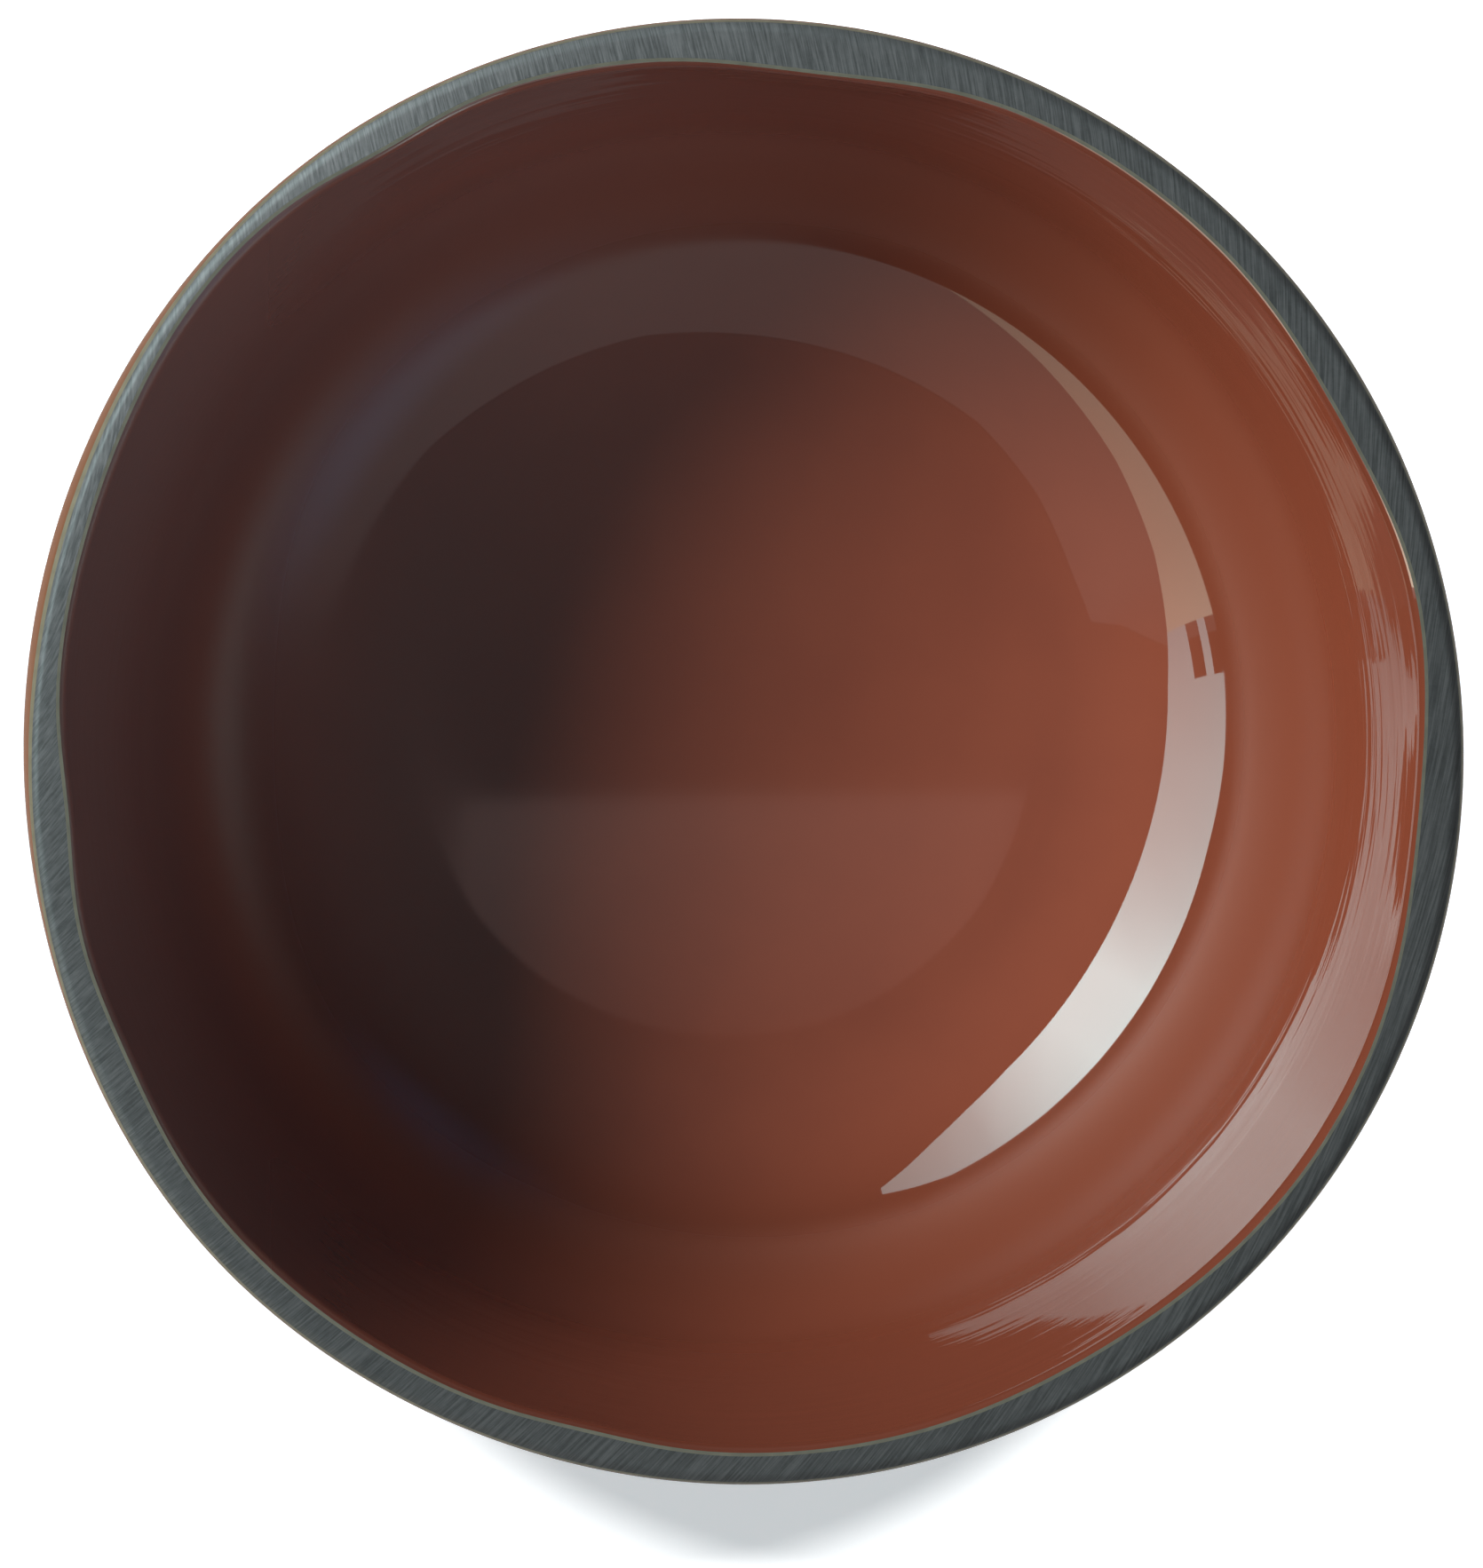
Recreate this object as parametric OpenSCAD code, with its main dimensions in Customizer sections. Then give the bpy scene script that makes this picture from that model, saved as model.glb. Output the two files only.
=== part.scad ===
/* [Rim] */
// Mean diameter across the rim
rim_d = 150; // [130:1:180]
// How much longer the rim is from front to back than from side to side
rim_oval = 3; // [0:0.1:6]
// Degrees that the long side of the oval is turned from front to back
oval_turn = 10; // [0:1:90]
// Radius of the bare shoulder outside the ground land
shoulder_r = 1.4; // [0.8:0.1:2]
// Radius that the glazed inner edge had before the rim was ground
lip_r = 2.5; // [1.6:0.1:4]
// Width of the glazed inner edge that the grinding left
lip_w = 0.8; // [0.5:0.1:1.5]

/* [Wall] */
// Height of the rim above the table
height = 53; // [47:1:62]
// Thickness of the wall below the rim, with its glaze
wall_t = 4.2; // [3.4:0.1:6]
// Degrees that the straight wall leans out from upright
wall_lean = 18; // [12:1:22]
// Inside radius of the bend from floor to wall
corner_r = 30; // [24:1:34]
// Thickness of the floor inside the foot, with its glaze
floor_t = 5; // [4:0.1:8]
// How far the middle of the floor dips below its edge
floor_dish = 0.6; // [0.2:0.1:1.2]

/* [Foot] */
// Outer diameter of the foot ring
foot_d = 84; // [76:1:96]
// Width of the foot ring
foot_w = 4.5; // [3:0.1:7]
// Depth of the recess inside the foot ring
foot_h = 2; // [1.2:0.1:4]
// Size of the wiped edges of the foot ring
foot_edge = 0.5; // [0.2:0.1:1]
// How far the wall of the recess slopes in
foot_draft = 0.8; // [0:0.1:2]

/* [Glaze] */
// Thickness of each coat of glaze
glaze_t = 0.35; // [0.2:0.05:0.6]
// Width of bare clay between the foot ring and the outer glaze
glaze_stop = 1.2; // [0.4:0.1:4]

/* [Facets] */
// Flats round the bowl
flats = 72; // [48:8:96]
// Steps in the bend from floor to wall
bend_steps = 7; // [4:1:8]
// Steps across the dished floor
dish_steps = 2; // [2:1:3]
// Steps up the straight part of the wall
wall_steps = 3; // [2:1:4]
// Steps in each rounded edge of the rim
edge_steps = 3; // [2:1:4]

/* [Hidden] */

clay_colour = "#474d4f";
glaze_colour = "#8c4a37";

// Where the wall swells at the rim, by hand: angle round the bowl, millimetres out, degrees either way
wall_swells = [[130, 0.5, 25], [222, 0.8, 22]];
// Where the inner edge of the land swings in, by hand: angle, share of the land's width with a minus
// where it swings out, degrees either way
land_waves = [
    [14, -0.1, 8],
    [30, 0.22, 10],
    [84, 0.53, 12],
    [110, -0.08, 7],
    [121, 0.18, 6],
    [137, -0.38, 16],
    [185, 0.32, 8],
    [206, 0.2, 9],
    [257, 0.16, 7],
    [300, 0.13, 12],
    [325, -0.13, 14],
    [354, 0.35, 13],
];
// Depth over which those waves fade to about a third down the inside of the wall
wave_fade = 6;
// Where the glaze outside reaches in over the shoulder, by hand: angle, millimetres in, degrees either way
shoulder_waves = [[163, 0.9, 28]];

rim_r = rim_d / 2;
foot_r = foot_d / 2;
floor_z = foot_h + floor_t;
// Mean width of the land with its shoulder, which takes half of it at most
land_w = wall_t - lip_w;
land_edge_r = min(shoulder_r, land_w / 2);

// Slopes at which the rounded inner edge leaves the wall and meets the ground land
lip_start = wall_lean;
lip_end = acos(cos(lip_start) - lip_w / lip_r);
lip_z = height - lip_r * (sin(lip_end) - sin(lip_start));
shoulder_z = height - land_edge_r;
// Slope of the rounded shoulder where it comes out of the glaze
cut_angle = acos(1 - glaze_t / land_edge_r);
// Top of the straight wall outside, where the shoulder starts
wall_top_z = shoulder_z - land_edge_r * sin(wall_lean);

// Centre of the bend, inside and out, and the slope of the dished floor where the bend takes over
bend_z = floor_z + corner_r;
bend_r = wall_in(bend_z) - corner_r / cos(wall_lean);
outer_corner_r = (wall_out(bend_z) - bend_r) * cos(wall_lean);
dish_slope = atan(2 * floor_dish / bend_r);
dish_r = bend_r + corner_r * sin(dish_slope);
dish_edge_z = bend_z - corner_r * cos(dish_slope);
floor_middle_z = dish_edge_z - dish_r * tan(dish_slope) / 2;

// Where the outside leaves the foot ring, and where its glaze starts
glaze_foot_r = foot_r + glaze_stop;
foot_top_angle = bend_start(foot_r);
glaze_foot_angle = bend_start(glaze_foot_r);

// Angle below the level at which the clay's outer bend passes radius r
function bend_start(r) = -acos(min(1, max(0, (r - bend_r) / (outer_corner_r - glaze_t))));

// Glazed outside and inside of the straight wall at height z
function wall_out(z) = rim_r - land_edge_r * (1 - cos(wall_lean)) - (wall_top_z - z) * tan(wall_lean);
function wall_in(z) = rim_r - wall_t - (lip_z - z) * tan(wall_lean);

// Sum of hand-set waves at angle a
function turn(a) = a - 360 * round(a / 360);
function waves(list, a) = [for (w = list) w[1] * exp(-pow(turn(a - w[0]) / w[2], 2))] * [for (w = list) 1];

angles = [for (j = [0 : flats - 1]) j * 360 / flats];
sways = [for (a = angles) waves(wall_swells, a) - rim_oval / 4 * cos(2 * (a - oval_turn))];
land_swings = [for (a = angles) land_w * waves(land_waves, a)];
shoulder_swings = [for (a = angles) waves(shoulder_waves, a)];

// The bowl is round at the foot and takes its full sway at the rim
function rise(z) = min(1, max(0, z / height));
function sway_share(z) = rise(z) * rise(z) * (3 - 2 * rise(z));
function wave_share(z) = exp((z - height) / wave_fade);

// A ring of points for one step of a profile: radius, height, and the shares it takes of the waves
// at the inner edge of the land and at the shoulder
function ring(s) = [
    for (j = [0 : flats - 1])
        let (
            in = land_swings[j] * s[2] + shoulder_swings[j] * s[3],
            r = s[0] * (1 + sways[j] * sway_share(s[1]) / rim_r) - in
        )
        [r * cos(angles[j]), r * sin(angles[j]), s[1]]
];

// Profiles, from the foot up outside and from the floor up inside, skin_t below the finished surface
function outer_flat(skin_t) = glaze_foot_r < bend_r
    ? [[glaze_foot_r, bend_z - outer_corner_r + skin_t, 0, 0]]
    : [];
function outer_bend(skin_t) = [
    for (i = [0 : bend_steps])
        let (
            t = glaze_foot_angle + (-wall_lean - glaze_foot_angle) * i / bend_steps,
            r = outer_corner_r - skin_t
        )
        [bend_r + r * cos(t), bend_z + r * sin(t), 0, 0]
];
function outer_wall(skin_t) = [
    for (i = [1 : wall_steps])
        let (
            from = bend_z - outer_corner_r * sin(wall_lean),
            z = from + (wall_top_z - from) * i / wall_steps
        )
        [wall_out(z) - skin_t / cos(wall_lean), z, 0, 0]
];
function outside(skin_t) = concat(outer_flat(skin_t), outer_bend(skin_t), outer_wall(skin_t));
function shoulder_at(t) = [
    rim_r - land_edge_r * (1 - cos(t)),
    shoulder_z + land_edge_r * sin(t),
    0,
    t < cut_angle ? (t + wall_lean) / (cut_angle + wall_lean) : 1 - 0.5 * (t - cut_angle) / (90 - cut_angle)
];
function shoulder(from, to) = [
    for (i = [1 : edge_steps]) shoulder_at(from + (to - from) * i / edge_steps)
];
function dish(skin_t) = [
    for (i = [1 : dish_steps - 1])
        let (share = i / dish_steps)
        [dish_r * share, floor_middle_z - skin_t + (dish_edge_z - floor_middle_z) * share * share, 0, 0]
];
function inner_bend(skin_t) = [
    for (i = [0 : bend_steps])
        let (
            from = -90 + dish_slope,
            t = from + (-wall_lean - from) * i / bend_steps,
            r = corner_r + skin_t,
            z = bend_z + r * sin(t)
        )
        [bend_r + r * cos(t), z, wave_share(z), 0]
];
function inner_wall(skin_t) = [
    for (i = [1 : wall_steps])
        let (
            from = bend_z - corner_r * sin(wall_lean),
            z = from + (lip_z - from) * i / wall_steps
        )
        [wall_in(z) + skin_t / cos(wall_lean), z, wave_share(z), 0]
];
function lip(skin_t) = [
    for (i = [1 : edge_steps])
        let (
            t = lip_start + (lip_end - lip_start) * i / edge_steps,
            z = lip_z + lip_r * (sin(t) - sin(lip_start))
        )
        [
            wall_in(lip_z) + skin_t / cos(wall_lean) + lip_r * (cos(lip_start) - cos(t)),
            z,
            wave_share(z),
            0
        ]
];
function inside(skin_t) = concat(dish(skin_t), inner_bend(skin_t), inner_wall(skin_t), lip(skin_t));
function reversed(list) = [for (i = [len(list) - 1 : -1 : 0]) list[i]];

recess_r = foot_r - foot_w - foot_draft;
recess_wall = [
    [recess_r, foot_h + glaze_t, 0, 0],
    [recess_r, foot_h, 0, 0]
];
foot_ring = [
    [foot_r - foot_w, foot_edge, 0, 0],
    [foot_r - foot_w + foot_edge, 0, 0, 0],
    [foot_r - foot_edge, 0, 0, 0],
    [foot_r, foot_edge, 0, 0]
];
bare_foot_top = let (z = bend_z + (outer_corner_r - glaze_t) * sin(foot_top_angle)) [[foot_r, z, 0, 0]];
bare_rim = concat([shoulder_at(cut_angle)], shoulder(cut_angle, 90));

// Triangles between ring a and ring b. Profiles that run down are split along the other diagonal,
// so that the clay and the glaze on it meet in the same triangles.
function band(a, b, runs_down) = [
    for (j = [0 : flats - 1])
        let (
            k = (j + 1) % flats,
            a1 = a * flats + j,
            a2 = a * flats + k,
            b1 = b * flats + j,
            b2 = b * flats + k
        )
        each runs_down
            ? [[a1, b1, a2], [a2, b1, b2]]
            : [[a1, b1, b2], [a1, b2, a2]]
];
function skin(up, down) = [
    for (i = [0 : len(up) + len(down) - 2]) each band(i, i + 1, i >= len(up) - 1)
];
function ring_points(up, down) = [for (s = concat(up, down)) each ring(s)];

// A round solid whose profile starts on the axis, goes out and up, then comes back down to the axis
module capped_loft(first_z, up, down, last_z) {
    points = ring_points(up, down);
    first = len(points);
    last_ring = first - flats;
    caps = [
        for (j = [0 : flats - 1])
            let (k = (j + 1) % flats)
            each [[first, j, k], [last_ring + j, first + 1, last_ring + k]]
    ];
    polyhedron(concat(points, [[0, 0, first_z], [0, 0, last_z]]), concat(skin(up, down), caps));
}

// A ring whose profile goes up and comes back down to where it started
module ring_loft(up, down) {
    last = len(up) + len(down) - 1;
    polyhedron(ring_points(up, down), concat(skin(up, down), band(last, 0, true)));
}

// The thrown and ground clay, bare on the foot ring and across the rim
module clay_body() {
    color(clay_colour)
        capped_loft(
            foot_h + glaze_t,
            concat(recess_wall, foot_ring, bare_foot_top, outside(glaze_t), bare_rim),
            reversed(inside(glaze_t)),
            floor_middle_z - glaze_t
        );
}

// The coat inside, from the floor up to its cut edge on the land
module inside_glaze() {
    color(glaze_colour)
        capped_loft(floor_middle_z - glaze_t, inside(glaze_t), reversed(inside(0)), floor_middle_z);
}

// The coat outside, from above the foot ring up to its cut edge on the shoulder
module outside_glaze() {
    color(glaze_colour)
        ring_loft(concat(outside(0), shoulder(-wall_lean, cut_angle)), reversed(outside(glaze_t)));
}

// The coat on the underside, inside the foot ring
module base_glaze() {
    color(glaze_colour)
        capped_loft(foot_h, [recess_wall[1]], [recess_wall[0]], foot_h + glaze_t);
}

clay_body();
inside_glaze();
outside_glaze();
base_glaze();
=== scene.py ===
import math

import bmesh
import bpy
from mathutils import Matrix, Vector


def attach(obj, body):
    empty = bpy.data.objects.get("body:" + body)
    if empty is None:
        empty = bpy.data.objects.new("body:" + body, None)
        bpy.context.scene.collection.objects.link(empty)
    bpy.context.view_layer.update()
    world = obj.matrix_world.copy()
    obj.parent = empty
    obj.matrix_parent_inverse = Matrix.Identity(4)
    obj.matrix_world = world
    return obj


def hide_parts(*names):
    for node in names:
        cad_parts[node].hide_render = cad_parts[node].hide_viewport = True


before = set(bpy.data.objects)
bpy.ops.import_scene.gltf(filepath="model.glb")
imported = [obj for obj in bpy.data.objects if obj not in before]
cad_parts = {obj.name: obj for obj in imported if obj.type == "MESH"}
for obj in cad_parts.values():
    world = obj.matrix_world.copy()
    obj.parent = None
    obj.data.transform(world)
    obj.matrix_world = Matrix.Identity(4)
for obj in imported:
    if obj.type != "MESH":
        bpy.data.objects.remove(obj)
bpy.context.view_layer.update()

# Clay body
# One round piece of dark, through-coloured stoneware: floor, bend, leaning wall and foot ring in one.
# The rim was ground flat after the glaze firing and the foot ring wiped before it, so both are bare.
# Sizes are in millimetres and degrees, and the mesh is scaled to metres at the end.
rim_r = 75
rim_oval = 3
oval_turn = 10
height = 53
wall_t = 4.2
wall_lean = 18
corner_r = 30
floor_t = 5
floor_dish = 0.6
shoulder_r = 1.4
lip_r = 2.5
lip_w = 0.8
foot_r = 42
foot_w = 4.5
foot_h = 2
foot_edge = 0.5
foot_draft = 0.8
glaze_t = 0.35
glaze_stop = 1.2

# Places round the rim where hand and wheel left it uneven: angle, size, degrees either way. The wall's
# swells are in millimetres out, the land's inner edge in shares of its width in, the shoulder in mm in.
wall_swells = [(130, 0.5, 25), (222, 0.8, 22)]
land_waves = [
    (14, -0.1, 8),
    (30, 0.22, 10),
    (84, 0.53, 12),
    (110, -0.08, 7),
    (121, 0.18, 6),
    (137, -0.38, 16),
    (185, 0.32, 8),
    (206, 0.2, 9),
    (257, 0.16, 7),
    (300, 0.13, 12),
    (325, -0.13, 14),
    (354, 0.35, 13),
]
shoulder_waves = [(163, 0.9, 28)]
wave_fade = 6


def sin(angle):
    return math.sin(math.radians(angle))


def cos(angle):
    return math.cos(math.radians(angle))


lean_run = sin(wall_lean) / cos(wall_lean)
lip_end = math.degrees(math.acos(cos(wall_lean) - lip_w / lip_r))
lip_z = height - lip_r * (sin(lip_end) - sin(wall_lean))
shoulder_z = height - shoulder_r
wall_top_z = shoulder_z - shoulder_r * sin(wall_lean)
cut_angle = math.degrees(math.acos(1 - glaze_t / shoulder_r))
cut_z = shoulder_z + shoulder_r * sin(cut_angle)
land_out_r = rim_r - shoulder_r
land_in_r = rim_r - wall_t + lip_w + glaze_t / cos(wall_lean)
land_w = wall_t - lip_w


def wall_in(z):
    return rim_r - wall_t - (lip_z - z) * lean_run


def wall_out(z):
    return rim_r - shoulder_r * (1 - cos(wall_lean)) - (wall_top_z - z) * lean_run


bend_z = foot_h + floor_t + corner_r
bend_r = wall_in(bend_z) - corner_r / cos(wall_lean)
outer_corner_r = (wall_out(bend_z) - bend_r) * cos(wall_lean)
dish_slope = math.degrees(math.atan(2 * floor_dish / bend_r))
dish_r = bend_r + corner_r * sin(dish_slope)
dish_edge_z = bend_z - corner_r * cos(dish_slope)
floor_middle_z = dish_edge_z - dish_r * sin(dish_slope) / cos(dish_slope) / 2


def arc(centre, radius, start, end, steps):
    turns = [start + (end - start) * k / steps for k in range(steps + 1)]
    return [(centre[0] + radius * cos(t), centre[1] + radius * sin(t)) for t in turns]


def straight(start, end, steps):
    shares = [k / steps for k in range(1, steps)]
    return [(start[0] + (end[0] - start[0]) * s, start[1] + (end[1] - start[1]) * s) for s in shares]


# The inside from the middle of the floor to the land, and the outside from the foot to the shoulder, both
# a depth of skin below the finished glaze
def inside_line(skin, steps):
    middle_z = floor_middle_z - skin
    shares = [k / 12 for k in range(12)]
    dish = [(dish_r * s, middle_z + (dish_edge_z - floor_middle_z) * s * s) for s in shares]
    bend = arc((bend_r, bend_z), corner_r + skin, dish_slope - 90, -wall_lean, steps)
    lip_start_r = wall_in(lip_z) + skin / cos(wall_lean)
    lip_centre = (lip_start_r + lip_r * cos(wall_lean), lip_z - lip_r * sin(wall_lean))
    lip = arc(lip_centre, lip_r, 180 - wall_lean, 180 - lip_end, 10)
    return dish + bend + straight(bend[-1], lip[0], steps // 2) + lip


def outer_bend_angle(r):
    return -math.degrees(math.acos((r - bend_r) / (outer_corner_r - glaze_t)))


def outside_line(skin, steps):
    start = outer_bend_angle(foot_r + glaze_stop)
    bend = arc((bend_r, bend_z), outer_corner_r - skin, start, -wall_lean, steps)
    top = (wall_out(wall_top_z) - skin / cos(wall_lean), wall_top_z)
    return bend + straight(bend[-1], top, steps // 2) + [top]


def shoulder_line(start, end, steps):
    return arc((land_out_r, shoulder_z), shoulder_r, start, end, steps)


def waves(places, angle):
    total = 0
    for place, size, spread in places:
        off = (angle - place + 180) % 360 - 180
        total += size * math.exp(-((off / spread) ** 2))
    return total


def share(value, low, high):
    return min(1, max(0, (value - low) / (high - low)))


# A true round piece takes the oval and the unevenness of the rim, which fade towards the foot
def settle(bm):
    for v in bm.verts:
        r = math.hypot(v.co.x, v.co.y)
        if r < 0.001:
            continue
        angle = math.degrees(math.atan2(v.co.y, v.co.x))
        z = v.co.z
        rise = share(z, 0, height)
        fade = rise * rise * (3 - 2 * rise)
        sway = (waves(wall_swells, angle) - rim_oval / 4 * cos(2 * (angle - oval_turn))) * fade
        level_r = r + (height - z) * lean_run
        land_share = (1 - share(level_r, land_in_r, land_out_r)) * math.exp((z - height) / wave_fade)
        shoulder_share = share(level_r, land_in_r, rim_r) * share(z, wall_top_z, cut_z)
        new_r = r * (1 + sway / rim_r)
        new_r -= land_w * waves(land_waves, angle) * land_share
        new_r -= waves(shoulder_waves, angle) * shoulder_share
        v.co.x *= new_r / r
        v.co.y *= new_r / r


# A profile turned once round the axis, as on the wheel
def turned_piece(name, profile, closed, flats=360):
    bm = bmesh.new()
    verts = [bm.verts.new((r, 0, z)) for r, z in profile]
    edges = [bm.edges.new(pair) for pair in zip(verts, verts[1:])]
    if closed:
        edges.append(bm.edges.new((verts[-1], verts[0])))
    bmesh.ops.spin(
        bm, geom=verts + edges, cent=(0, 0, 0), axis=(0, 0, 1), angle=math.tau, steps=flats, use_merge=True
    )
    bmesh.ops.remove_doubles(bm, verts=bm.verts, dist=0.001)
    bmesh.ops.recalc_face_normals(bm, faces=bm.faces)
    settle(bm)
    bmesh.ops.scale(bm, vec=(0.001, 0.001, 0.001), verts=bm.verts)
    mesh = bpy.data.meshes.new(name)
    bm.to_mesh(mesh)
    bm.free()
    mesh.shade_smooth()
    mesh.set_sharp_from_angle(angle=math.radians(35))
    piece = bpy.data.objects.new(name, mesh)
    bpy.context.scene.collection.objects.link(piece)
    return piece


foot_in_r = foot_r - foot_w
recess_r = foot_in_r - foot_draft
foot_profile = [(0, foot_h + glaze_t), (recess_r, foot_h + glaze_t), (recess_r, foot_h)]
foot_profile += arc((foot_in_r + foot_edge, foot_edge), foot_edge, 180, 270, 4)
foot_profile += arc((foot_r - foot_edge, foot_edge), foot_edge, 270, 360, 4)
foot_profile += [(foot_r, bend_z + (outer_corner_r - glaze_t) * sin(outer_bend_angle(foot_r)))]

clay_profile = foot_profile + outside_line(glaze_t, 24)
clay_profile += shoulder_line(cut_angle, 90, 8)
clay_profile += inside_line(glaze_t, 24)[::-1]
clay = turned_piece("clay", clay_profile, closed=False, flats=288)


def linear(hex_colour):
    parts = [int(hex_colour[k:k + 2], 16) / 255 for k in (1, 3, 5)]
    return [p / 12.92 if p <= 0.04045 else ((p + 0.055) / 1.055) ** 2.4 for p in parts] + [1]


def add_node(tree, kind, inputs, **settings):
    made = tree.nodes.new(kind)
    for name, value in settings.items():
        setattr(made, name, value)
    for socket, value in inputs.items():
        if isinstance(value, bpy.types.NodeSocket):
            tree.links.new(value, made.inputs[socket])
        else:
            made.inputs[socket].default_value = value
    return made


def new_material(name):
    made = bpy.data.materials.new(name)
    made.use_nodes = True
    tree = made.node_tree
    return made, tree, tree.nodes["Principled BSDF"].inputs


# Ground stoneware: a dull grey with the fine scratches of the grinding plate. They are arcs about the
# plate's axis, which stood beside the bowl, and lie over a grain of lighter and darker clay. The shader
# reads metres, so the sizes of all patterns are in metres.
plate_axis = (-0.129, 0.042, 0)
scratch_w = 0.0002
scratch_length = 0.005
scratch_depth = 0.00002
plate_reach = 0.13
grain_w = 0.0006
stoneware, tree, shader = new_material("ground_stoneware")
coords = add_node(tree, "ShaderNodeTexCoord", {}).outputs["Object"]
from_axis = add_node(tree, "ShaderNodeVectorMath", {0: coords, 1: plate_axis}, operation="SUBTRACT")
on_plate = add_node(tree, "ShaderNodeSeparateXYZ", {"Vector": from_axis.outputs["Vector"]}).outputs
flat = add_node(tree, "ShaderNodeCombineXYZ", {"X": on_plate["X"], "Y": on_plate["Y"]})
reach = add_node(tree, "ShaderNodeVectorMath", {0: flat.outputs["Vector"]}, operation="LENGTH")
turn = add_node(tree, "ShaderNodeMath", {0: on_plate["Y"], 1: on_plate["X"]}, operation="ARCTAN2")
arc_place = add_node(tree, "ShaderNodeCombineXYZ", {"X": reach.outputs["Value"], "Y": turn.outputs["Value"]})
scratch_place = add_node(tree, "ShaderNodeMapping", {
    "Vector": arc_place.outputs["Vector"], "Scale": (1 / scratch_w, plate_reach / scratch_length, 1),
})
scratches = add_node(tree, "ShaderNodeTexNoise", {
    "Vector": scratch_place.outputs["Vector"], "Scale": 1, "Detail": 2, "Roughness": 0.6,
}).outputs["Fac"]
grain = add_node(tree, "ShaderNodeTexNoise", {
    "Vector": coords, "Scale": 1 / grain_w, "Detail": 2, "Roughness": 0.7,
}).outputs["Fac"]
marks = add_node(tree, "ShaderNodeMapRange", {"Value": scratches, "From Min": 0.38, "From Max": 0.66})
scratched = add_node(tree, "ShaderNodeMix", {
    "Factor": marks.outputs["Result"], 6: linear("#292c2d"), 7: linear("#565a5b"),
}, data_type="RGBA")
grained = add_node(tree, "ShaderNodeMix", {
    "Factor": grain, 6: linear("#222627"), 7: linear("#4d5152"),
}, data_type="RGBA")
mixed = add_node(tree, "ShaderNodeMix", {
    "Factor": 0.4, 6: scratched.outputs[2], 7: grained.outputs[2],
}, data_type="RGBA")
tree.links.new(mixed.outputs[2], shader["Base Color"])
bump = add_node(tree, "ShaderNodeBump", {"Height": scratches, "Distance": scratch_depth, "Strength": 0.7})
tree.links.new(bump.outputs["Normal"], shader["Normal"])
shader["Roughness"].default_value = 0.5
shader["IOR"].default_value = 1.5
clay.data.materials.append(stoneware)
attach(clay, "root")
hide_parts("clay_body")

# Inside glaze
# A glossy brown coat a third of a millimetre thick, poured in and run out, then melted onto the clay.
# The grinding of the rim cut through it, so its pale section shows as a thin line along the land.
inside_profile = inside_line(0, 60) + inside_line(glaze_t, 24)[::-1]
inside_coat = turned_piece("inside_coat", inside_profile, closed=False)

# Cinnamon glaze: mirror-smooth red-brown, lighter in clouds on the floor and a plain darker brown from the
# bend up the wall.
# It is satin low on the wall and all over the left, and has a clear skin high on the right, where rings from
# the throwing break up what it mirrors. Heights and places are in metres.
cloud_w = 0.018
ring_w = 0.002
ring_length = 0.03
ring_depth = 0.00004
floor_end_z = 0.007
wall_start_z = 0.013
belt_start_z = 0.0128
belt_full_z = 0.0155
belt_drop = 0.005
drop_start_x = 0.02
drop_full_x = -0.02
skin_start_z = 0.025
skin_full_z = 0.035
satin_full_x = -0.055
satin_end_x = -0.025
mirror_roughness = 0.02
upper_wall_roughness = 0.06
belt_roughness = 0.35
left_roughness = 0.3
cinnamon, tree, shader = new_material("cinnamon_glaze")
coords = add_node(tree, "ShaderNodeTexCoord", {}).outputs["Object"]
clouds = add_node(tree, "ShaderNodeTexNoise", {
    "Vector": coords, "Scale": 1 / cloud_w, "Detail": 3, "Roughness": 0.55,
}).outputs["Fac"]
clouded = add_node(tree, "ShaderNodeMix", {
    "Factor": clouds, 6: linear("#8c4935"), 7: linear("#9f563d"),
}, data_type="RGBA")
split = add_node(tree, "ShaderNodeSeparateXYZ", {"Vector": coords})
# From the floor up the wall the colour goes over to one plain darker brown
on_wall = add_node(tree, "ShaderNodeMapRange", {
    "Value": split.outputs["Z"], "From Min": floor_end_z, "From Max": wall_start_z,
})
floor_to_wall = add_node(tree, "ShaderNodeMix", {
    "Factor": on_wall.outputs["Result"], 6: clouded.outputs[2], 7: linear("#7d412d"),
}, data_type="RGBA")
tree.links.new(floor_to_wall.outputs[2], shader["Base Color"])
level = add_node(tree, "ShaderNodeCombineXYZ", {"X": split.outputs["X"], "Y": split.outputs["Y"]})
radius = add_node(tree, "ShaderNodeVectorMath", {0: level.outputs["Vector"]}, operation="LENGTH")
along = add_node(tree, "ShaderNodeMath", {
    0: radius.outputs["Value"], 1: split.outputs["Z"],
}, operation="ADD")
ring_place = add_node(tree, "ShaderNodeCombineXYZ", {
    "X": split.outputs["X"], "Y": split.outputs["Y"], "Z": along.outputs["Value"],
})
ring_scaled = add_node(tree, "ShaderNodeMapping", {
    "Vector": ring_place.outputs["Vector"], "Scale": (1 / ring_length, 1 / ring_length, 1 / ring_w),
})
rings = add_node(tree, "ShaderNodeTexNoise", {
    "Vector": ring_scaled.outputs["Vector"], "Scale": 1, "Detail": 2, "Roughness": 0.5,
}).outputs["Fac"]
up_wall = add_node(tree, "ShaderNodeMapRange", {
    "Value": split.outputs["Z"], "From Min": skin_start_z, "From Max": skin_full_z,
}, interpolation_type="SMOOTHSTEP")
wall_rings = add_node(tree, "ShaderNodeMath", {0: rings, 1: up_wall.outputs["Result"]}, operation="MULTIPLY")
bump = add_node(tree, "ShaderNodeBump", {
    "Height": wall_rings.outputs["Value"], "Distance": ring_depth, "Strength": 1,
})
tree.links.new(bump.outputs["Normal"], shader["Normal"])
left_share = add_node(tree, "ShaderNodeMapRange", {
    "Value": split.outputs["X"], "From Min": drop_start_x, "From Max": drop_full_x,
})
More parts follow.
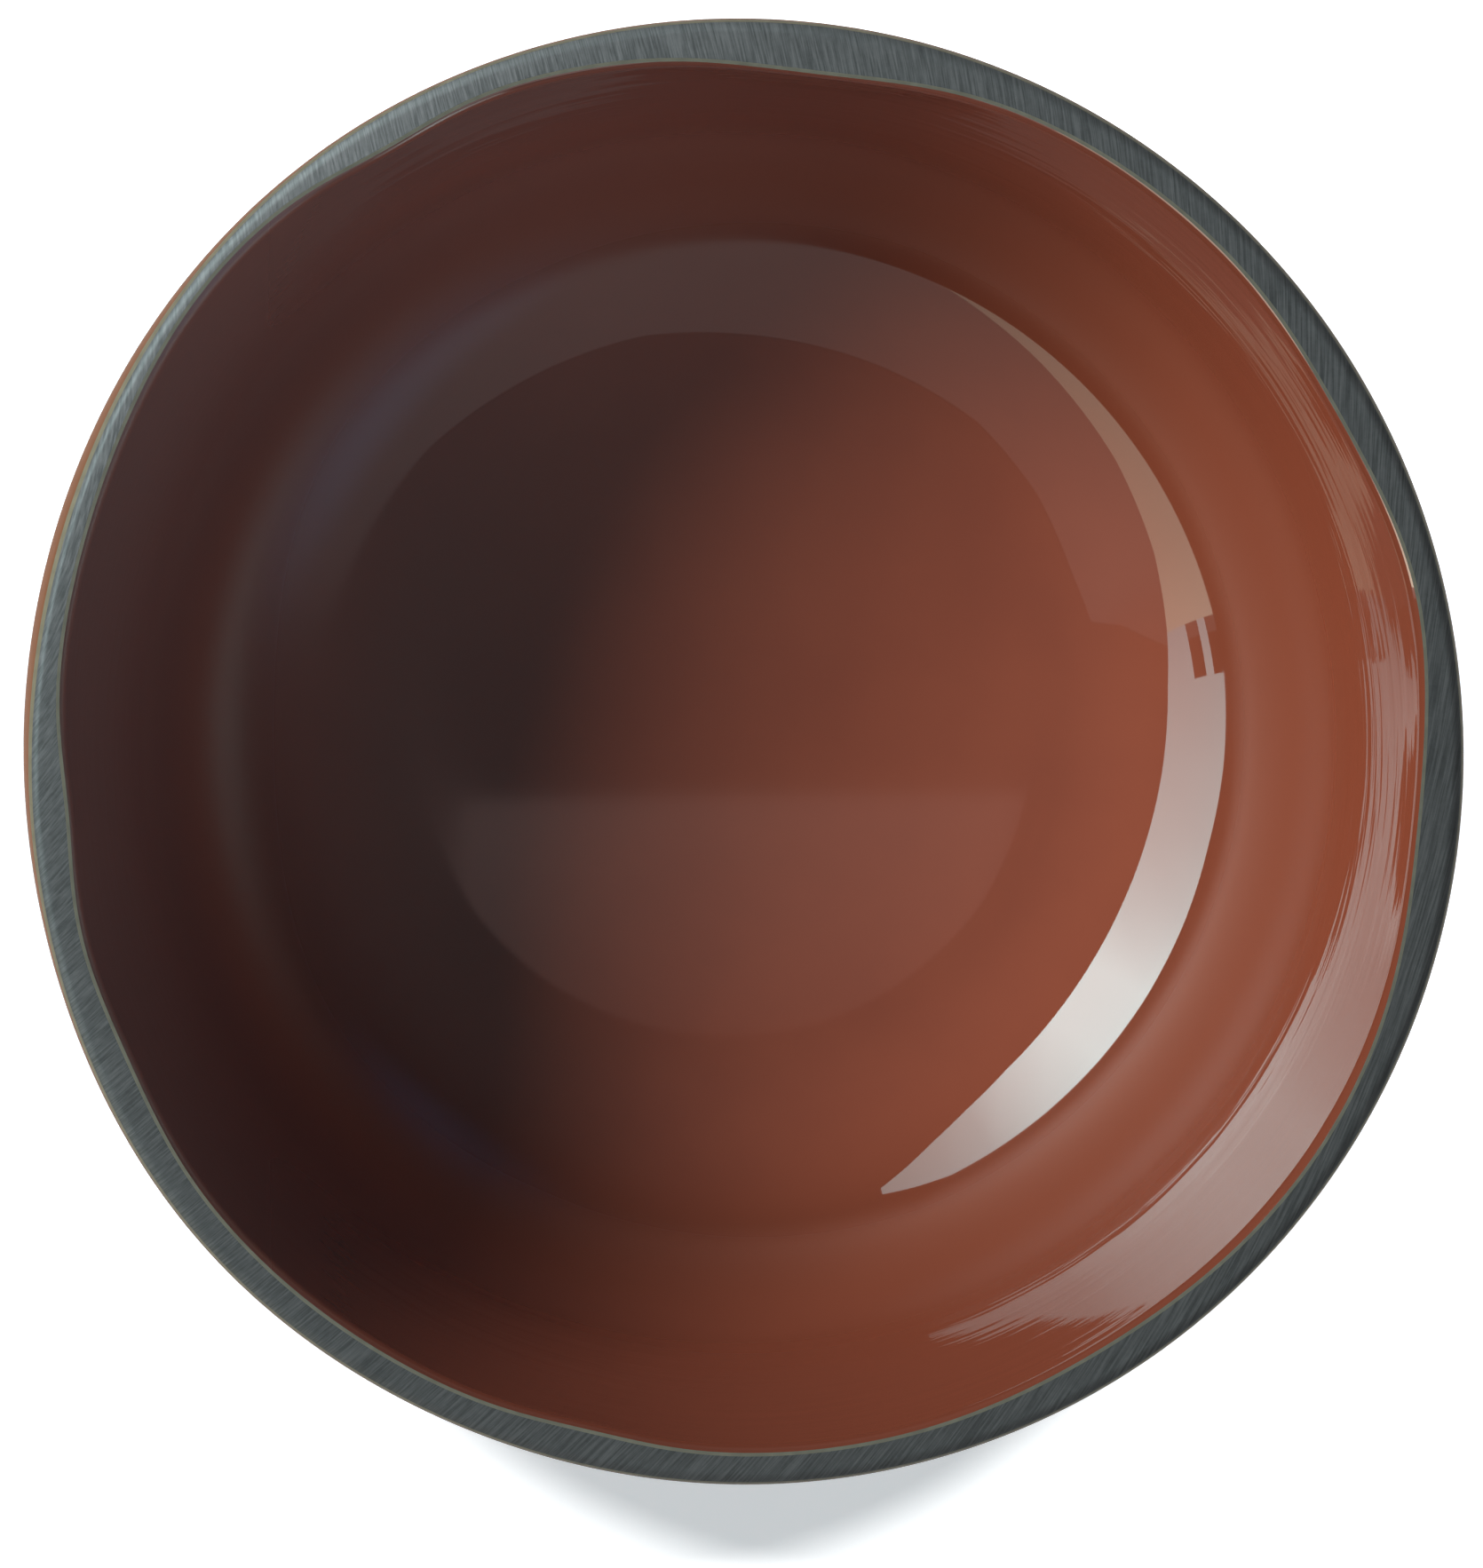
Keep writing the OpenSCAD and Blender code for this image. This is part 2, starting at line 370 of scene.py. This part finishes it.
belt_start = add_node(tree, "ShaderNodeMath", {
    0: left_share.outputs["Result"], 1: -belt_drop, 2: belt_start_z,
}, operation="MULTIPLY_ADD")
belt_foot = add_node(tree, "ShaderNodeMapRange", {
    "Value": split.outputs["Z"], "From Min": belt_start.outputs["Value"], "From Max": belt_full_z,
    "To Min": mirror_roughness, "To Max": belt_roughness,
}, interpolation_type="SMOOTHSTEP")
belt_top = add_node(tree, "ShaderNodeMapRange", {
    "Value": split.outputs["Z"], "From Min": skin_start_z, "From Max": skin_full_z,
    "To Min": belt_roughness, "To Max": upper_wall_roughness,
}, interpolation_type="SMOOTHSTEP")
belt = add_node(tree, "ShaderNodeMath", {
    0: belt_foot.outputs["Result"], 1: belt_top.outputs["Result"],
}, operation="MINIMUM")
right_side = add_node(tree, "ShaderNodeMapRange", {
    "Value": split.outputs["X"], "From Min": satin_full_x, "From Max": satin_end_x,
}, interpolation_type="SMOOTHSTEP")
gloss = add_node(tree, "ShaderNodeMix", {
    "Factor": right_side.outputs["Result"], 2: left_roughness, 3: belt.outputs["Value"],
})
tree.links.new(gloss.outputs[0], shader["Roughness"])
shader["IOR"].default_value = 1.6
skin = add_node(tree, "ShaderNodeMath", {
    0: up_wall.outputs["Result"], 1: right_side.outputs["Result"],
}, operation="MULTIPLY")
tree.links.new(skin.outputs["Value"], shader["Coat Weight"])
tree.links.new(bump.outputs["Normal"], shader["Coat Normal"])
shader["Coat IOR"].default_value = 1.8
shader["Coat Roughness"].default_value = mirror_roughness

# Cut glaze: the coat's own section, a dull olive tan where the grinding took its skin off
speck_w = 0.0015
cut_glaze, tree, shader = new_material("cut_glaze")
coords = add_node(tree, "ShaderNodeTexCoord", {}).outputs["Object"]
specks = add_node(tree, "ShaderNodeTexNoise", {
    "Vector": coords, "Scale": 1 / speck_w, "Detail": 2,
}).outputs["Fac"]
specked = add_node(tree, "ShaderNodeMix", {
    "Factor": specks, 6: linear("#5a5645"), 7: linear("#7a745d"),
}, data_type="RGBA")
tree.links.new(specked.outputs[2], shader["Base Color"])
shader["Roughness"].default_value = 0.4
shader["IOR"].default_value = 1.5


# Faces of a coat that lie higher than from_z, outside radius from_r, take another material
def show_above(piece, material, from_z, from_r=0):
    piece.data.materials.append(material)
    for face in piece.data.polygons:
        middle = face.center * 1000
        if middle.z > from_z and math.hypot(middle.x, middle.y) > from_r:
            face.material_index = len(piece.data.materials) - 1


inside_coat.data.materials.append(cinnamon)
show_above(inside_coat, cut_glaze, height - 0.001)
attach(inside_coat, "root")
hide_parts("inside_glaze")

# Outside glaze
# The same coat outside, from a finger's width of bare clay above the foot ring up to the shoulder, where
# the grinding cut it off; on one side the glaze still wraps a millimetre over the shoulder.
tan_from = 24
beside_land_r = land_out_r - 2
outside_profile = outside_line(0, 40) + shoulder_line(-wall_lean, tan_from, 8)[1:]
outside_profile += shoulder_line(tan_from, cut_angle, 4)[1:]
outside_profile += outside_line(glaze_t, 24)[::-1]
outside_coat = turned_piece("outside_coat", outside_profile, closed=True)

# Even cinnamon glaze: the same red-brown outside and below, lighter in clouds, with one even soft gloss
even_cinnamon, tree, shader = new_material("even_cinnamon_glaze")
coords = add_node(tree, "ShaderNodeTexCoord", {}).outputs["Object"]
clouds = add_node(tree, "ShaderNodeTexNoise", {
    "Vector": coords, "Scale": 1 / cloud_w, "Detail": 3, "Roughness": 0.55,
}).outputs["Fac"]
clouded = add_node(tree, "ShaderNodeMix", {
    "Factor": clouds, 6: linear("#7a402e"), 7: linear("#8a4a35"),
}, data_type="RGBA")
tree.links.new(clouded.outputs[2], shader["Base Color"])
shader["Roughness"].default_value = 0.15
shader["IOR"].default_value = 1.5

# Thin glaze: over the shoulder the coat thins to a tan brown
thin_glaze, tree, shader = new_material("thin_glaze")
shader["Base Color"].default_value = linear("#7d543b")
shader["Roughness"].default_value = 0.2
shader["IOR"].default_value = 1.52
outside_coat.data.materials.append(even_cinnamon)
show_above(outside_coat, thin_glaze, wall_top_z + 0.01, beside_land_r)
show_above(outside_coat, cut_glaze, shoulder_z + shoulder_r * sin(tan_from), beside_land_r)
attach(outside_coat, "root")
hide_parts("outside_glaze")

# Base glaze
# The same coat on the underside, a shallow pool inside the foot ring with a soft edge.
pool_edge = 0.2
base_profile = [(0, foot_h)]
base_profile += arc((recess_r - pool_edge, foot_h + pool_edge), pool_edge, 270, 360, 4)
base_profile += [(recess_r, foot_h + glaze_t), (0, foot_h + glaze_t)]
base_coat = turned_piece("base_coat", base_profile, closed=False)
base_coat.data.materials.append(even_cinnamon)
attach(base_coat, "root")
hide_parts("base_glaze")

# Floor
# A plain white table, a hair below the foot. It is white to the eye and pale in the glaze, gives the bowl
# no light of its own, and shows the bowl's soft shadow from two lamps that light only the table.
table_half = 2
table_gap = 0.0001
table_glow = 0.6
bm = bmesh.new()
below_foot = Matrix.Translation((0, 0, -table_gap))
bmesh.ops.create_grid(bm, x_segments=1, y_segments=1, size=table_half, matrix=below_foot)
floor_mesh = bpy.data.meshes.new("floor")
bm.to_mesh(floor_mesh)
bm.free()
floor = bpy.data.objects.new("floor", floor_mesh)
bpy.context.scene.collection.objects.link(floor)
table_white, tree, shader = new_material("table_white")
shader["Roughness"].default_value = 0.9
shader["Specular IOR Level"].default_value = 0
shader["Emission Color"].default_value = linear("#f1fbff")
path = add_node(tree, "ShaderNodeLightPath", {})
seen = add_node(tree, "ShaderNodeMath", {
    0: path.outputs["Is Camera Ray"], 1: path.outputs["Is Glossy Ray"],
}, operation="MAXIMUM")
seen = add_node(tree, "ShaderNodeMath", {
    0: seen.outputs["Value"], 1: path.outputs["Is Transmission Ray"],
}, operation="MAXIMUM")
glow = add_node(tree, "ShaderNodeMath", {0: seen.outputs["Value"], 1: table_glow}, operation="MULTIPLY")
tree.links.new(glow.outputs["Value"], shader["Emission Strength"])
lit_white = add_node(tree, "ShaderNodeMix", {
    "Factor": path.outputs["Is Glossy Ray"], 6: linear("#f0f0f0"), 7: linear("#000000"),
}, data_type="RGBA")
tree.links.new(lit_white.outputs[2], shader["Base Color"])
floor_mesh.materials.append(table_white)

table_only = bpy.data.collections.new("table_only")
table_only.objects.link(floor)
whole_bowl = bpy.data.collections.new("whole_bowl")
for piece in (clay, inside_coat, outside_coat, base_coat):
    whole_bowl.objects.link(piece)
inside_only = bpy.data.collections.new("inside_only")
inside_only.objects.link(inside_coat)
clay_only = bpy.data.collections.new("clay_only")
clay_only.objects.link(clay)
outside_and_rim = bpy.data.collections.new("outside_and_rim")
for piece in (clay, outside_coat, base_coat):
    outside_and_rim.objects.link(piece)


def towards(azimuth, elevation):
    return Vector((cos(azimuth) * cos(elevation), sin(azimuth) * cos(elevation), sin(elevation)))


# Only where the bowl hides both lamps is the table darker than white
for side, azimuth, elevation in (("right", 51, 67), ("left", 140, 62)):
    table_lamp = bpy.data.lights.new(f"table_lamp_{side}", "SUN")
    table_lamp.energy = 2.4
    table_lamp.angle = math.radians(6)
    table_lamp_stand = bpy.data.objects.new(f"table_lamp_{side}", table_lamp)
    table_lamp_stand.rotation_euler = towards(azimuth, elevation).to_track_quat("Z", "Y").to_euler()
    table_lamp_stand.light_linking.receiver_collection = table_only
    bpy.context.scene.collection.objects.link(table_lamp_stand)

# Studio light
# A soft lamp on the left, low enough that the near wall shades half of the floor, a weak one in front, two
# cool ones that reach into the shade inside and a weak one on the shaded outside. What the glaze mirrors
# isn't the lamps but the cards below.
bowl_middle = Vector((0, 0, 0.03))
for name, azimuth, elevation, width, energy, tint, lit in (
    ("key_lamp", 158, 32, 22, 3.5, "#ffffff", whole_bowl),
    ("side_lamp", 238, 26, 24, 0.55, "#ffffff", whole_bowl),
    ("fill_lamp", 315, 18, 40, 3.6, "#74b2f2", inside_only),
    ("shade_lamp", 48, 19, 20, 0.8, "#48a8f6", inside_only),
    ("back_lamp", 10, 30, 60, 0.6, "#ffffff", outside_and_rim),
):
    lamp = bpy.data.lights.new(name, "SUN")
    lamp.energy = energy
    lamp.color = linear(tint)[:3]
    lamp.angle = math.radians(width)
    lamp_stand = bpy.data.objects.new(name, lamp)
    lamp_stand.rotation_euler = towards(azimuth, elevation).to_track_quat("Z", "Y").to_euler()
    lamp_stand.visible_glossy = False
    lamp_stand.light_linking.receiver_collection = lit
    bpy.context.scene.collection.objects.link(lamp_stand)

# A small lamp close to the upper left of the rim lights only the bare clay, which is palest there
rim_lamp_distance = 0.15
rim_lamp = bpy.data.lights.new("rim_lamp", "POINT")
rim_lamp.energy = 0.55
rim_lamp.shadow_soft_size = 0.03
rim_lamp_stand = bpy.data.objects.new("rim_lamp", rim_lamp)
rim_lamp_stand.location = bowl_middle + towards(132, 38) * rim_lamp_distance
rim_lamp_stand.visible_glossy = False
rim_lamp_stand.light_linking.receiver_collection = clay_only
bpy.context.scene.collection.objects.link(rim_lamp_stand)


# A card spans rows of two corners each, and every row has its own brightness
def light_card(name, rows, tint):
    bm = bmesh.new()
    brightness = bm.verts.layers.float.new("brightness")
    last_pair = None
    for first, second, shine in rows:
        pair = [bm.verts.new(first), bm.verts.new(second)]
        for v in pair:
            v[brightness] = shine
        if last_pair:
            bm.faces.new(last_pair + pair[::-1])
        last_pair = pair
    mesh = bpy.data.meshes.new(name)
    bm.to_mesh(mesh)
    bm.free()
    card = bpy.data.objects.new(name, mesh)
    bpy.context.scene.collection.objects.link(card)
    card_light = bpy.data.materials.new(name)
    card_light.use_nodes = True
    tree = card_light.node_tree
    tree.nodes.remove(tree.nodes["Principled BSDF"])
    shine = add_node(tree, "ShaderNodeAttribute", {}, attribute_name="brightness").outputs["Fac"]
    emission = add_node(tree, "ShaderNodeEmission", {"Color": linear(tint), "Strength": shine})
    tree.links.new(emission.outputs["Emission"], tree.nodes["Material Output"].inputs["Surface"])
    mesh.materials.append(card_light)
    card.visible_camera = False
    card.visible_diffuse = False
    card.visible_shadow = False


# Rows of a card that stands round the bowl: azimuth, lower and upper elevation, brightness
def standing(stations, distance):
    rows = []
    for azimuth, low, high, shine in stations:
        low_corner, high_corner = [bowl_middle + towards(azimuth, e) * distance for e in (low, high)]
        rows.append((low_corner, high_corner, shine))
    return rows


# A wide lit screen on the left with a gap between two bars, and its dim end
screen_distance = 0.7
screen_white = "#e2ffff"
screen = [
    (107, 26, 29, 3), (111, 24, 34, 3.4), (116, 22, 40, 4), (122, 22, 45, 5.2), (130, 22, 49, 8.5),
    (140, 22, 51, 11.5), (150, 22, 52, 11.5), (160, 22, 52, 8), (170, 22, 51, 6), (180, 20, 49, 5),
    (191, 18, 46, 3.8),
]
low_bar = [(191, 23, 27, 3.8), (198, 23, 27, 3)]
high_bar = [(191, 33, 46, 3.8), (198, 33, 42, 3)]
screen_end = [(198, 8, 42, 3), (208, 8, 36, 2.2), (220, 8, 30, 1.8), (235, 8, 24, 1.5), (248, 8, 18, 1.1)]
light_card("screen", standing(screen, screen_distance), screen_white)
light_card("low_bar", standing(low_bar, screen_distance), screen_white)
light_card("high_bar", standing(high_bar, screen_distance), screen_white)
light_card("screen_end", standing(screen_end, screen_distance), "#fffde4")

# The white top of the table in front, dim in the glaze of the far wall
table_top_distance = 0.9
table_top = [
    (196, 5, 42, 0.35), (203, 5, 60, 0.4), (210, 5, 72, 0.5), (218, 5, 72, 0.48), (228, 5, 67, 0.45),
    (240, 5, 63, 0.45), (255, 5, 63, 0.43), (270, 5, 62, 0.43), (285, 5, 58, 0.42), (300, 5, 57, 0.4),
    (315, 5, 54, 0.38), (335, 5, 54, 0.36), (342, 5, 50, 0.25), (348, 5, 40, 0.1),
]
light_card("table_top", standing(table_top, table_top_distance), "#ffffff")

# A pale shape beside the camera, which the floor of the bowl mirrors: Y, left and right X, brightness
shape_z = 1.4
shape = [
    (-0.0817, 0.029, 0.081, 0.7), (-0.07, 0.032, 0.081, 0.56), (-0.063, 0.04, 0.073, 0.45),
    (-0.058, 0.049, 0.061, 0.32),
]
shape_rows = [((left, y, shape_z), (right, y, shape_z), shine) for y, left, right, shine in shape]
light_card("camera_side", shape_rows, "#ffe5e1")

# The room is nearly dark on the clay, in the glaze a dim grey that is lighter overhead, and white behind
# the table
room_on_clay = 0.006
room_low = 0.04
room_overhead = 0.21
room = bpy.data.worlds.new("room")
room.use_nodes = True
bpy.context.scene.world = room
tree = room.node_tree
path = add_node(tree, "ShaderNodeLightPath", {})
direction = add_node(tree, "ShaderNodeTexCoord", {}).outputs["Generated"]
up = add_node(tree, "ShaderNodeSeparateXYZ", {"Vector": direction}).outputs["Z"]
overhead = add_node(tree, "ShaderNodeMapRange", {
    "Value": up, "From Min": 0.3, "From Max": 1, "To Min": room_low, "To Max": room_overhead,
})
mirrored = add_node(tree, "ShaderNodeMath", {
    0: path.outputs["Is Glossy Ray"], 1: overhead.outputs["Result"], 2: room_on_clay,
}, operation="MULTIPLY_ADD")
strength = add_node(tree, "ShaderNodeMath", {
    0: mirrored.outputs["Value"], 1: path.outputs["Is Camera Ray"],
}, operation="MAXIMUM")
tree.nodes["Background"].inputs["Color"].default_value = (1, 1, 1, 1)
tree.links.new(strength.outputs["Value"], tree.nodes["Background"].inputs["Strength"])

# Camera
# A long lens one and a half metres over the rim, a little to the left and top of the bowl's axis.
frame_w = 0.1527
camera_distance = 1.5
aim = Vector((-0.0004, -0.003, height / 1000))
away = Vector((-0.041, 0.067, 1)).normalized()
camera = bpy.data.cameras.new("camera")
camera.sensor_fit = "HORIZONTAL"
camera.sensor_width = 36
camera.lens = camera.sensor_width * camera_distance / frame_w
camera.clip_end = 20
camera_stand = bpy.data.objects.new("camera", camera)
camera_stand.location = aim + away * camera_distance
across = Vector((0, 1, 0)).cross(away).normalized()
camera_stand.rotation_euler = Matrix((across, away.cross(across), away)).transposed().to_euler()
bpy.context.scene.collection.objects.link(camera_stand)
bpy.context.scene.camera = camera_stand
bpy.context.scene.view_settings.view_transform = "Standard"
